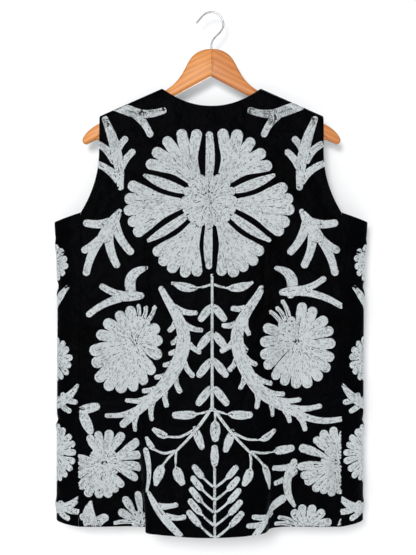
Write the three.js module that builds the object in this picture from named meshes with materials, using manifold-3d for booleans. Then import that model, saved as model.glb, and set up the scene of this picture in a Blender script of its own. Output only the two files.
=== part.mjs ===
// A sleeveless embroidered jacket hanging on a wooden coat hanger, in millimetres.
// +Z is up. +X runs across the jacket's back, to the right of someone facing the back. The back faces -Y.
// The origin is the point inside the top of the hook, where a rail carries the hanger.
// Heights are written as drops: distances below that point.

import * as THREE from 'three';
import { mergeVertices } from 'three/addons/utils/BufferGeometryUtils.js';
import Module from 'manifold-3d';

const wasm = await Module();
wasm.setup();

// ---------- Sizes ----------

const jacket = {
  wall: 1.6,              // cloth, with the embroidery's backing stitches
  seamGap: 0.3,           // between two pieces where they are sewn
  neckHalf: 86,           // centre line to the neck point of the shoulder seam
  neckDrop: 131,          // the neck point
  shoulderHalf: 192,      // centre line to the shoulder's outer end
  shoulderDrop: 178,      // the shoulder's outer end
  backNeckDrop: 162,      // lowest point of the back neckline
  neckRoundness: 2.1,     // exponent of the back neckline's curve
  frontNeckDrop: 330,     // foot of the front neckline, at the opening
  frontNeckRoundness: 1.25,
  openingHalf: 4,         // half the gap between the two fronts
  armholeStraight: 240,   // the armhole edge is upright down to here
  armholeRoundness: 2.1,
  frontArmholeScoop: 8,   // how much deeper the front armhole is cut
  underarmDrop: 345,      // where the armhole edge meets the side seam
  underarmDip: 16,        // the side panel's top edge sags this much at the fold
  seamHalf: 222,          // centre line to the side seams
  sideReach: 46,          // side seam to the jacket's outermost edge
  hemDrop: 878,
  hemBelly: 6,            // the hem hangs this much lower at the centre
  hemBellyHalf: 95,
  sideHemRise: 6,         // the hem rises this much at the outermost edge
  swing: 3,               // the hem hangs this much to -X of the hook
};

// Distance from the jacket's middle plane to its outer face at the side seams.
const depths = [
  { drop: 90, depth: 9.6 },
  { drop: 200, depth: 9.6 },
  { drop: 245, depth: 11.5 },
  { drop: 345, depth: 16 },
  { drop: 500, depth: 20 },
  { drop: 700, depth: 22 },
  { drop: 890, depth: 24 },
];

// Soft folds that run down a panel. Each turns the cloth's heading by `turn` degrees at the hem, over
// `reach` to either side of `at` (across the flat cloth, from the centre line). A fold starts at the drop
// `begins` and opens towards the hem, slowly at first where `power` is high.
const backFolds = [
  { name: 'left_tuck', at: -121, reach: 26, turn: -98, begins: 385, power: 2.4 },
  { name: 'right_tuck', at: 105, reach: 25, turn: 58, begins: 420, power: 1.5 },
  { name: 'left_swell', at: -92, reach: 92, turn: -9, begins: 200, power: 1 },
  { name: 'right_swell', at: 92, reach: 92, turn: 12, begins: 200, power: 1 },
  { name: 'left_flute', at: -186, reach: 28, turn: 7, begins: 300, power: 1 },
  { name: 'right_flute', at: 180, reach: 30, turn: -6, begins: 300, power: 1 },
];
const frontFolds = [
  { name: 'outer_flute_in', at: 168, reach: 34, turn: -13, begins: 300, power: 1 },
  { name: 'outer_flute_out', at: 128, reach: 34, turn: 22, begins: 300, power: 1.2 },
  { name: 'inner_flute', at: 70, reach: 46, turn: -15, begins: 360, power: 1.2 },
];
const foldFoot = 878;     // the drop where every fold has its full turn
const walkStep = 2;       // step along a section, in millimetres of cloth

const hanger = {
  thickness: 14,
  edgeRound: 4,
  joint: 0.3,             // gap between the two halves
  crownDrop: 62.6,
  neckNotchDrop: 108.9,   // underside of the wood on the centre line
  barRadius: 4.5,
  barDrop: 214.5,
  barHalf: 211,
  socketGap: 0.3,
};

const hook = {
  wireRadius: 1.7,
  bendRadius: 20.6,       // to the wire's centre line
  footDrop: 88,           // the shank's end, inside the wood
  holeGap: 0.3,
  curveSegments: 5,       // two sides of the wire for each
  steps: 44,
};

const colours = {
  cloth: 0x141416,
  woodLeft: 0xe39a5c,
  woodRight: 0xd98d58,
  steel: 0xa9adb2,
};

// ---------- Small helpers ----------

const radians = (degrees) => THREE.MathUtils.degToRad(degrees);
const mix = (from, to, share) => from + (to - from) * share;
const clamp01 = (value) => Math.min(1, Math.max(0, value));

function depthAt(drop) {
  const below = depths.findIndex((row) => row.drop >= drop);
  const lower = depths[Math.max(1, below)];
  const upper = depths[Math.max(1, below) - 1];
  return mix(upper.depth, lower.depth, clamp01((drop - upper.drop) / (lower.drop - upper.drop)));
}

// ---------- Outlines, as drops and half widths ----------

const shoulderSlope = (jacket.shoulderDrop - jacket.neckDrop) / (jacket.shoulderHalf - jacket.neckHalf);
const shoulderLine = (across) => jacket.neckDrop + (Math.abs(across) - jacket.neckHalf) * shoulderSlope;

function backTop(across) {
  const share = Math.abs(across) / jacket.neckHalf;
  if (share >= 1) return shoulderLine(across);
  return mix(jacket.backNeckDrop, jacket.neckDrop, share ** jacket.neckRoundness);
}

function frontTop(across) {
  if (across >= jacket.neckHalf) return shoulderLine(across);
  const share = (across - jacket.openingHalf) / (jacket.neckHalf - jacket.openingHalf);
  return mix(jacket.frontNeckDrop, jacket.neckDrop, share ** (1 / jacket.frontNeckRoundness));
}

function backArmhole(drop) {
  const share = clamp01((drop - jacket.armholeStraight) / (jacket.underarmDrop - jacket.armholeStraight));
  return mix(jacket.shoulderHalf, jacket.seamHalf, share ** jacket.armholeRoundness);
}

function frontArmhole(drop) {
  const share = clamp01((drop - jacket.shoulderDrop) / (jacket.underarmDrop - jacket.shoulderDrop));
  return backArmhole(drop) - jacket.frontArmholeScoop * Math.sin(Math.PI * share);
}

const hem = (across) => jacket.hemDrop + jacket.hemBelly * Math.exp(-((across / jacket.hemBellyHalf) ** 2));

// ---------- The hanging cloth ----------

// Heading of the cloth, seen from above, at a place across the flat panel.
function headingAt(folds, across, drop) {
  return folds.reduce((sum, fold) => {
    const away = (across - fold.at) / fold.reach;
    if (Math.abs(away) >= 1 || drop <= fold.begins) return sum;
    const opened = ((drop - fold.begins) / (foldFoot - fold.begins)) ** fold.power;
    return sum + radians(fold.turn) * opened * Math.cos((Math.PI / 2) * away) ** 2;
  }, 0);
}

// Walks along the cloth from the centre line to a side seam.
function walkSection(folds, drop, direction) {
  const path = [{ across: 0, x: 0, y: 0 }];
  while (Math.abs(path.at(-1).x) < jacket.seamHalf + walkStep) {
    const last = path.at(-1);
    const heading = headingAt(folds, last.across + (direction * walkStep) / 2, drop);
    path.push({
      across: last.across + direction * walkStep,
      x: last.x + direction * Math.cos(heading) * walkStep,
      y: last.y + direction * Math.sin(heading) * walkStep,
    });
  }
  return path;
}

function placeOnWalk(path, key, value) {
  const next = path.findIndex((point) => Math.abs(point[key]) >= Math.abs(value));
  const after = path[Math.max(1, next)];
  const before = path[Math.max(1, next) - 1];
  const share = (value - before[key]) / (after[key] - before[key]);
  return {
    across: mix(before.across, after.across, share),
    x: mix(before.x, after.x, share),
    y: mix(before.y, after.y, share),
  };
}

// A level cut through one panel: cloth widths out to the seams, and the point at any place across it.
// The back (face -1) and the fronts (face 1) meet the side panels at the same depth.
function sectionAt(folds, drop, face) {
  const right = walkSection(folds, drop, 1);
  const left = walkSection(folds, drop, -1);
  const seamRight = placeOnWalk(right, 'x', jacket.seamHalf);
  const seamLeft = placeOnWalk(left, 'x', -jacket.seamHalf);
  const tilt = (seamRight.y - seamLeft.y) / (2 * jacket.seamHalf);
  const middle = (seamRight.y + seamLeft.y) / 2;
  return {
    widthRight: seamRight.across,
    widthLeft: -seamLeft.across,
    point(across) {
      const place = placeOnWalk(across < 0 ? left : right, 'across', across);
      const heading = headingAt(folds, across, drop);
      const inward = depthAt(drop) - (place.y - middle - tilt * place.x);
      return { x: place.x, depth: inward, normalX: Math.sin(heading), normalDepth: Math.cos(heading), face };
    },
  };
}

// Near the shoulder line the cloth rolls over the hanger, down from the seam in a quarter circle.
function rollOver(x, drop) {
  const below = drop - shoulderLine(x);
  const cosine = 1 - clamp01(below / depths[0].depth);
  return { cosine, sine: Math.sqrt(1 - cosine * cosine) };
}

// Sideways shift of the cloth below the shoulders, because the jacket hangs slightly off centre.
function leanAt(drop) {
  return -jacket.swing * clamp01((drop - jacket.shoulderDrop) / (jacket.hemDrop - jacket.shoulderDrop));
}

// Outer and inner points of a panel at one place.
function clothPair(section, across, drop) {
  const place = section.point(across);
  const roll = rollOver(place.x, drop);
  const depth = place.depth * roll.sine + jacket.seamGap / 2;
  const outer = new THREE.Vector3(place.x + leanAt(drop), place.face * depth, -drop);
  const normal = new THREE.Vector3(
    place.normalX * roll.sine,
    place.face * place.normalDepth * roll.sine,
    roll.cosine,
  );
  const inner = outer.clone().addScaledVector(normal.normalize(), -jacket.wall);
  return { outer, inner };
}

// A closed solid from a grid of outer and inner points. The grid runs down in rows and across in columns.
function wallSolid(grid, outwardFirst) {
  const rows = grid.length;
  const columns = grid[0].length;
  const positions = [];
  for (const key of ['outer', 'inner']) {
    for (const row of grid) {
      for (const pair of row) positions.push(pair[key].x, pair[key].y, pair[key].z);
    }
  }
  const outerIndex = (row, column) => row * columns + column;
  const innerIndex = (row, column) => rows * columns + outerIndex(row, column);
  const index = [];
  const quad = (a, b, c, d) => {
    const order = outwardFirst ? [a, b, c, a, c, d] : [a, c, b, a, d, c];
    index.push(...order);
  };
  for (let row = 0; row < rows - 1; row += 1) {
    for (let column = 0; column < columns - 1; column += 1) {
      quad(outerIndex(row, column), outerIndex(row + 1, column),
        outerIndex(row + 1, column + 1), outerIndex(row, column + 1));
      quad(innerIndex(row, column), innerIndex(row, column + 1),
        innerIndex(row + 1, column + 1), innerIndex(row + 1, column));
    }
    for (const [column, flip] of [[0, true], [columns - 1, false]]) {
      const edge = [outerIndex(row, column), outerIndex(row + 1, column),
        innerIndex(row + 1, column), innerIndex(row, column)];
      quad(...(flip ? edge.reverse() : edge));
    }
  }
  for (let column = 0; column < columns - 1; column += 1) {
    for (const [row, flip] of [[0, false], [rows - 1, true]]) {
      const edge = [outerIndex(row, column), outerIndex(row, column + 1),
        innerIndex(row, column + 1), innerIndex(row, column)];
      quad(...(flip ? edge.reverse() : edge));
    }
  }
  const geometry = new THREE.BufferGeometry();
  geometry.setAttribute('position', new THREE.Float32BufferAttribute(positions, 3));
  geometry.setIndex(index);
  geometry.computeVertexNormals();
  return geometry;
}

function spread(from, to, count) {
  return Array.from({ length: count }, (_, step) => mix(from, to, step / count));
}

// Places that crowd together towards the neck point, where the neckline climbs over the hanger.
function towardsNeck(from, count) {
  return spread(0, 1, count).map((share) => mix(from, jacket.neckHalf, 1 - (1 - share) ** 2));
}

// Places down a column: over the shoulder's roll, past the armhole, then to the hem.
function dropsDown(top, bottom, armRows, bodyRows) {
  const roll = [0, 32, 62].map((angle) => top + depths[0].depth * (1 - Math.cos(radians(angle))));
  const chest = spread(top + depths[0].depth, jacket.underarmDrop, armRows);
  const body = spread(jacket.underarmDrop, bottom, bodyRows);
  return [...roll, ...chest, ...body, bottom];
}

// ---------- Cloth pieces ----------

function backPanel() {
  const creased = 152;    // the tucks lie between the neck point and here
  const inner = towardsNeck(0, 7);
  const middle = spread(jacket.neckHalf, creased, 12);
  const outer = [...spread(0, 1, 5), 1];
  const places = [
    ...inner.map((across) => ({ across, share: 0 })),
    ...middle.map((across) => ({ across, share: 0 })),
    ...outer.map((share) => ({ across: creased, share })),
  ];
  const columns = [
    ...places.slice(1).reverse().map((place) => ({ ...place, side: -1 })),
    ...places.map((place) => ({ ...place, side: 1 })),
  ];
  const columnDrops = columns.map(({ across, share }) => {
    const atTop = mix(across, jacket.shoulderHalf, share);
    return dropsDown(backTop(atTop), hem(atTop), 5, 12);
  });
  const grid = columnDrops[0].map((_, row) => columns.map(({ across, share, side }, column) => {
    const drop = columnDrops[column][row];
    const section = sectionAt(backFolds, drop, -1);
    const seamWidth = side > 0 ? section.widthRight : section.widthLeft;
    const edge = backArmhole(drop) + seamWidth - jacket.seamHalf;
    return clothPair(section, side * mix(across, edge, share), drop);
  }));
  return wallSolid(grid, true);
}

function frontPanel(side) {
  const chest = towardsNeck(jacket.openingHalf, 6).map((across) => ({ across, share: 0 }));
  const flank = [...spread(0, 1, 9), 1].map((share) => ({ across: jacket.neckHalf, share }));
  const columns = [...chest, ...flank];
  const columnDrops = columns.map(({ across, share }) => {
    const atTop = mix(across, jacket.shoulderHalf, share);
    return dropsDown(frontTop(atTop), jacket.hemDrop, 5, 9);
  });
  const folds = frontFolds.map((fold) => ({ ...fold, at: side * fold.at, turn: side * fold.turn }));
  const grid = columnDrops[0].map((_, row) => columns.map(({ across, share }, column) => {
    const drop = columnDrops[column][row];
    const section = sectionAt(folds, drop, 1);
    const seamWidth = side > 0 ? section.widthRight : section.widthLeft;
    const edge = frontArmhole(drop) + seamWidth - jacket.seamHalf;
    return clothPair(section, side * mix(across, edge, share), drop);
  }));
  return wallSolid(grid, side < 0);
}

// The side panel runs round the jacket's edge as half an ellipse, from the back seam to the front seam.
function sidePanel(side) {
  const around = 12;
  const down = 11;
  const grid = [];
  for (let row = 0; row <= down; row += 1) {
    const points = [];
    for (let column = 0; column <= around; column += 1) {
      const angle = (Math.PI * column) / around;
      const outward = Math.sin(angle);
      const top = jacket.underarmDrop + jacket.underarmDip * outward;
      const bottom = jacket.hemDrop - jacket.sideHemRise * outward;
      const drop = mix(top, bottom, row / down);
      const depth = depthAt(drop) + jacket.seamGap / 2;
      const reach = jacket.sideReach - jacket.seamGap;
      const away = jacket.seamHalf + jacket.seamGap + reach * outward;
      const outer = new THREE.Vector3(side * away + leanAt(drop), -depth * Math.cos(angle), -drop);
      const normal = new THREE.Vector3(side * outward * depth, -Math.cos(angle) * reach, 0).normalize();
      points.push({ outer, inner: outer.clone().addScaledVector(normal, -jacket.wall) });
    }
    grid.push(points);
  }
  return wallSolid(grid, side > 0);
}

// ---------- The hanger ----------

function toManifold(geometry) {
  const bare = geometry.index ? geometry.toNonIndexed() : geometry.clone();
  bare.deleteAttribute('normal');
  bare.deleteAttribute('uv');
  const merged = mergeVertices(bare, 1e-4);
  const vertProperties = new Float32Array(merged.getAttribute('position').array);
  const triVerts = new Uint32Array(merged.getIndex().array);
  return new wasm.Manifold(new wasm.Mesh({ numProp: 3, vertProperties, triVerts }));
}

function fromManifold(solid) {
  const mesh = solid.getMesh();
  const geometry = new THREE.BufferGeometry();
  geometry.setAttribute('position', new THREE.Float32BufferAttribute(mesh.vertProperties, 3));
  geometry.setIndex(new THREE.Uint32BufferAttribute(mesh.triVerts, 1));
  geometry.computeVertexNormals();
  return geometry;
}

// Face outline of the right half, drawn past the centre line, where the other half cuts it off.
function armOutline() {
  const past = -12;
  const outline = new THREE.Shape();
  outline.moveTo(past, -hanger.crownDrop);
  outline.lineTo(2, -hanger.crownDrop);
  outline.bezierCurveTo(26, -63.4, 36, -76, 43.6, -92.3);
  outline.bezierCurveTo(52, -110, 62, -124, 80.6, -135);
  outline.lineTo(190, -189.5);
  outline.bezierCurveTo(206, -197, 219, -208, 222, -218.5);
  outline.quadraticCurveTo(223, -226.5, 215, -226.2);
  outline.lineTo(200, -219);
  outline.lineTo(187, -209);
  outline.lineTo(0, -hanger.neckNotchDrop);
  outline.lineTo(past, -hanger.neckNotchDrop);
  return outline;
}

function hangerArm(side) {
  const blank = new THREE.ExtrudeGeometry(armOutline(), {
    depth: hanger.thickness - 2 * hanger.edgeRound,
    bevelThickness: hanger.edgeRound,
    bevelSize: hanger.edgeRound,
    bevelOffset: -hanger.edgeRound,
    bevelSegments: 3,
    curveSegments: 8,
  });
  blank.rotateX(Math.PI / 2);
  blank.translate(0, hanger.thickness / 2 - hanger.edgeRound, 0);

  const otherHalf = new THREE.BoxGeometry(60, 40, 120);
  otherHalf.translate(hanger.joint / 2 - 30, 0, -hanger.crownDrop - 40);

  const holeRadius = hook.wireRadius + hook.holeGap;
  const hole = new THREE.CylinderGeometry(holeRadius, holeRadius, 60, 16);
  hole.rotateX(Math.PI / 2);
  hole.translate(0, 0, -hook.footDrop - hook.holeGap + 30);

  const socketRadius = hanger.barRadius + hanger.socketGap;
  const socketLength = hanger.barHalf + hanger.socketGap;
  const socket = new THREE.CylinderGeometry(socketRadius, socketRadius, socketLength, 20);
  socket.rotateZ(Math.PI / 2);
  socket.translate(socketLength / 2, 0, -hanger.barDrop);

  const arm = toManifold(blank)
    .subtract(toManifold(otherHalf))
    .subtract(toManifold(hole))
    .subtract(toManifold(socket));
  const geometry = fromManifold(arm);
  if (side < 0) geometry.rotateZ(Math.PI);
  return geometry;
}

function hangerBar() {
  const bar = new THREE.CylinderGeometry(hanger.barRadius, hanger.barRadius, 2 * hanger.barHalf, 20);
  bar.rotateZ(Math.PI / 2);
  bar.translate(0, 0, -hanger.barDrop);
  return bar;
}

// The wire: an open end, a round bend over the rail, a return curve and a straight shank into the wood.
function hookWire() {
  const centreDrop = hook.bendRadius - hook.wireRadius;
  const route = [new THREE.Vector3(-25.6, 0, -17.5)];
  for (let angle = 142; angle >= -38; angle -= 20) {
    route.push(new THREE.Vector3(
      hook.bendRadius * Math.cos(radians(angle)),
      0,
      hook.bendRadius * Math.sin(radians(angle)) - centreDrop,
    ));
  }
  route.push(new THREE.Vector3(5, 0, -43.5));
  route.push(new THREE.Vector3(0.6, 0, -51));
  route.push(new THREE.Vector3(0, 0, -60));
  route.push(new THREE.Vector3(0, 0, -74));
  route.push(new THREE.Vector3(0, 0, -hook.footDrop));
  const section = new THREE.Shape();
  section.absarc(0, 0, hook.wireRadius, 0, 2 * Math.PI);
  return new THREE.ExtrudeGeometry(section, {
    steps: hook.steps,
    curveSegments: hook.curveSegments,
    extrudePath: new THREE.CatmullRomCurve3(route),
    bevelEnabled: false,
  });
}

// ---------- Assembly ----------

const finish = (color, roughness, metalness) => new THREE.MeshStandardMaterial({ color, roughness, metalness });
const clothFinish = () => finish(colours.cloth, 0.9, 0);
const woodFinish = (color) => finish(color, 0.4, 0);
const steelFinish = () => finish(colours.steel, 0.35, 1);

const object = new THREE.Group();

function addPiece(name, geometry, material) {
  const mesh = new THREE.Mesh(geometry, material);
  mesh.name = name;
  object.add(mesh);
}

addPiece('back_panel', backPanel(), clothFinish());
for (const [name, side, wood] of [['left', -1, colours.woodLeft], ['right', 1, colours.woodRight]]) {
  addPiece(`side_panel_${name}`, sidePanel(side), clothFinish());
  addPiece(`front_${name}`, frontPanel(side), clothFinish());
  addPiece(`hanger_arm_${name}`, hangerArm(side), woodFinish(wood));
}
addPiece('hanger_bar', hangerBar(), woodFinish(colours.woodLeft));
addPiece('hanger_hook', hookWire(), steelFinish());

export default object;
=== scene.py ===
# Black sleeveless jacket with silver chain-stitch flowers, hung on a wooden coat hanger.
# The garment is worked out in millimetres: across is the distance over the cloth from the centre line,
# drop is the distance below the rail. Everything is turned into metres when a mesh is made.
import math
import random

import bmesh
import bpy
import numpy as np
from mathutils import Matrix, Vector


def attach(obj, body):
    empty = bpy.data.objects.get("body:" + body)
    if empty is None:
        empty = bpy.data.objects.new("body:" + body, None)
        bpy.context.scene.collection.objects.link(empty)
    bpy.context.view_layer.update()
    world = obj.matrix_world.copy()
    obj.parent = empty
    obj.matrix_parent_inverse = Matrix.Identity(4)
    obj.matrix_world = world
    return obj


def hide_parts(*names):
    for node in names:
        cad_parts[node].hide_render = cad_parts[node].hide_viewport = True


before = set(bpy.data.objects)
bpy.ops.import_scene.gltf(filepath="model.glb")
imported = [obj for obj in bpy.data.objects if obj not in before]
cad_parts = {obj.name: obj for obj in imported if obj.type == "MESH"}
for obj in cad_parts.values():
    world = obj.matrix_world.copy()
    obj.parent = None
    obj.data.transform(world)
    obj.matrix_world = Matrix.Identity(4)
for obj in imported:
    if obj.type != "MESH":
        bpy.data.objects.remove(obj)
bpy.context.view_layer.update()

print("frame loaded")
mm = 0.001


def addObject(name, data):
    made = bpy.data.objects.new(name, data)
    bpy.context.scene.collection.objects.link(made)
    return made


def node(tree, kind, settings=None, inputs=None):
    # one node with its settings and its input values or links
    made = tree.nodes.new(kind)
    for key, value in (settings or {}).items():
        setattr(made, key, value)
    for key, value in (inputs or {}).items():
        if isinstance(value, bpy.types.NodeSocket):
            tree.links.new(value, made.inputs[key])
        else:
            made.inputs[key].default_value = value
    return made


def newMaterial(name, sockets):
    # what is the same all over the surface is set straight on the shader
    material = bpy.data.materials.new(name)
    material.use_nodes = True
    shader = material.node_tree.nodes["Principled BSDF"]
    for label, value in sockets.items():
        shader.inputs[label].default_value = value
    return material, material.node_tree, shader


# the room: camera, wall, floor and lights

room = {
    "cameraAway": 1300,       # from the front of the hanger
    "hangerFront": -7,
    "cameraDrop": 456,
    "cameraX": -6,
    "viewHeight": 952,        # what the camera sees at the hanger, top to bottom
    "filmSize": 36,
    "wallY": 36, "wallHalf": 2600, "wallTop": 1600, "wallBottom": -2000,
    "floorDrop": 1500, "floorHalf": 6000, "floorRoughness": 0.8,
    "white": (0.93, 0.93, 0.93, 1),
    "sky": (0.96, 0.98, 1.0, 1), "skyStrength": 0.50,
    "lightsAim": (0, 0, -0.48),
    # name, place, size, watts
    "lights": [("keyLight", (-0.5, -2.4, 0.22), 0.8, 34), ("fillLight", (-0.4, -2.6, -0.4), 2.4, 12),
               ("backLight", (0.9, 2.6, 0.6), 1.8, 60)],
}


def addArea(name, place, size, watts):
    data = bpy.data.lights.new(name, "AREA")
    data.shape = "DISK"
    data.size = size
    data.energy = watts
    lamp = addObject(name, data)
    lamp.location = place
    lamp.rotation_euler = (Vector(room["lightsAim"]) - Vector(place)).to_track_quat("-Z", "Y").to_euler()


def plainSheet(name, corners, material):
    mesh = bpy.data.meshes.new(name)
    mesh.from_pydata([[part * mm for part in corner] for corner in corners], [], [tuple(range(len(corners)))])
    mesh.materials.append(material)
    sheet = addObject(name, mesh)
    return sheet


def buildRoom():
    scene = bpy.context.scene
    camData = bpy.data.cameras.new("camera")
    camData.lens = room["filmSize"] * room["cameraAway"] / room["viewHeight"]
    camData.clip_end = 50
    camera = addObject("camera", camData)
    y = room["hangerFront"] - room["cameraAway"]
    camera.location = (room["cameraX"] * mm, y * mm, -room["cameraDrop"] * mm)
    camera.rotation_euler = (math.pi / 2, 0, 0)
    scene.camera = camera

    # the wall is seen only from its front, so the jacket's far side can be looked at too
    wallPaint, tree = newMaterial("wallPaint", {})[:2]
    tree.nodes.clear()
    paint = node(tree, "ShaderNodeBsdfDiffuse", inputs={"Color": room["white"]})
    clear = node(tree, "ShaderNodeBsdfTransparent")
    behind = node(tree, "ShaderNodeNewGeometry").outputs["Backfacing"]
    mix = node(tree, "ShaderNodeMixShader", inputs={"Fac": behind, 1: paint.outputs[0], 2: clear.outputs[0]})
    node(tree, "ShaderNodeOutputMaterial", inputs={"Surface": mix.outputs[0]})
    y, half, top, bottom = (room[key] for key in ("wallY", "wallHalf", "wallTop", "wallBottom"))
    corners = [(-half, y, bottom), (half, y, bottom), (half, y, top), (-half, y, top)]
    wall = plainSheet("wall", corners, wallPaint)
    for kind in ("visible_diffuse", "visible_glossy", "visible_transmission", "visible_shadow"):
        setattr(wall, kind, False)

    floorPaint = newMaterial("floorPaint", {
        "Base Color": room["white"], "Roughness": room["floorRoughness"]})[0]
    z, half = -room["floorDrop"], room["floorHalf"]
    plainSheet("floor", [(-half, -half, z), (half, -half, z), (half, half, z), (-half, half, z)], floorPaint)

    world = bpy.data.worlds.new("softLight")
    world.use_nodes = True
    world.node_tree.nodes["Background"].inputs["Color"].default_value = room["sky"]
    world.node_tree.nodes["Background"].inputs["Strength"].default_value = room["skyStrength"]
    scene.world = world
    scene.view_settings.view_transform = "Standard"
    for light in room["lights"]:
        addArea(*light)


buildRoom()
print("room ready")

# how the jacket is cut and how it hangs

jacket = {
    "wall": 1.6, "seamGap": 0.3,
    "neckHalf": 86, "neckDrop": 131,
    "shoulderHalf": 192, "shoulderDrop": 178,
    "backNeckDrop": 162, "neckRoundness": 2.1,
    "frontNeckDrop": 330, "frontNeckRoundness": 1.25, "openingHalf": 4,
    "armholeStraight": 240, "armholeRoundness": 2.1, "frontArmholeScoop": 8,
    "underarmDrop": 345, "underarmDip": 16,
    "seamHalf": 222, "sideReach": 42, "sideReachTop": 47.5,
    "sideReachDrops": (362, 470),
    "hemDrop": 878, "hemBelly": 6, "hemBellyHalf": 95, "sideHemRise": 6,
    "swing": 3, "sideMiddleDrop": 600,
    "foldedTo": 152,          # the columns are straight up to here, past the tucks
}
clothTable = {"drops": (120, 900, 4.0), "steps": (-285, 286, 1.5), "angles": 200}     # from, to, gap
depthDrops = [90, 200, 245, 345, 500, 700, 890]        # heights where the depth is given
depthSizes = [9.6, 9.6, 11.5, 16, 20, 22, 24]          # middle plane to the outside of the cloth there

# folds that run down a panel: where across, reach to either side, degrees turned at the hem,
# the drop where it begins, and how late it opens
backFolds = [
    (-121, 26, -98, 385, 2.4),     # deep tuck near the left side
    (105, 25, 58, 420, 1.5),       # gentler tuck near the right side
    (-92, 92, -9, 200, 1),
    (92, 92, 12, 200, 1),
    (-186, 28, 7, 300, 1),
    (180, 30, -6, 300, 1),
]
frontFolds = [
    (168, 34, -13, 300, 1),
    (128, 34, 22, 300, 1.2),
    (70, 46, -15, 360, 1.2),
]

shoulderSlope = (jacket["shoulderDrop"] - jacket["neckDrop"]) / (jacket["shoulderHalf"] - jacket["neckHalf"])


def lerp(a, b, share):
    return a + (b - a) * share


def depthAt(drop):
    return np.interp(drop, depthDrops, depthSizes)


def leanAt(drop):
    span = jacket["hemDrop"] - jacket["shoulderDrop"]
    return -jacket["swing"] * np.clip((drop - jacket["shoulderDrop"]) / span, 0, 1)


def shoulderLine(across):
    return jacket["neckDrop"] + (np.abs(across) - jacket["neckHalf"]) * shoulderSlope


def backTop(across):
    share = np.clip(np.abs(across) / jacket["neckHalf"], 0, 1)
    neck = lerp(jacket["backNeckDrop"], jacket["neckDrop"], share ** jacket["neckRoundness"])
    return np.where(share >= 1, shoulderLine(across), neck)


def frontTop(across):
    away = np.abs(across)
    share = np.clip((away - jacket["openingHalf"]) / (jacket["neckHalf"] - jacket["openingHalf"]), 0, 1)
    neck = lerp(jacket["frontNeckDrop"], jacket["neckDrop"], share ** (1 / jacket["frontNeckRoundness"]))
    return np.where(share >= 1, shoulderLine(across), neck)


def backArmhole(drop):
    span = jacket["underarmDrop"] - jacket["armholeStraight"]
    share = np.clip((drop - jacket["armholeStraight"]) / span, 0, 1)
    return lerp(jacket["shoulderHalf"], jacket["seamHalf"], share ** jacket["armholeRoundness"])


def frontArmhole(drop):
    share = np.clip((drop - jacket["shoulderDrop"]) / (jacket["underarmDrop"] - jacket["shoulderDrop"]), 0, 1)
    return backArmhole(drop) - jacket["frontArmholeScoop"] * np.sin(math.pi * share)


def backHem(across):
    return jacket["hemDrop"] + jacket["hemBelly"] * np.exp(-((across / jacket["hemBellyHalf"]) ** 2))


class Cloth:
    def normal(self, across, drop):
        gap = 0.8
        over = self.point(across + gap, drop) - self.point(across - gap, drop)
        down = self.point(across, drop + gap) - self.point(across, drop - gap)
        n = np.cross(over, down) * self.outward
        return n / np.maximum(np.linalg.norm(n, axis=-1, keepdims=True), 1e-9)


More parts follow.
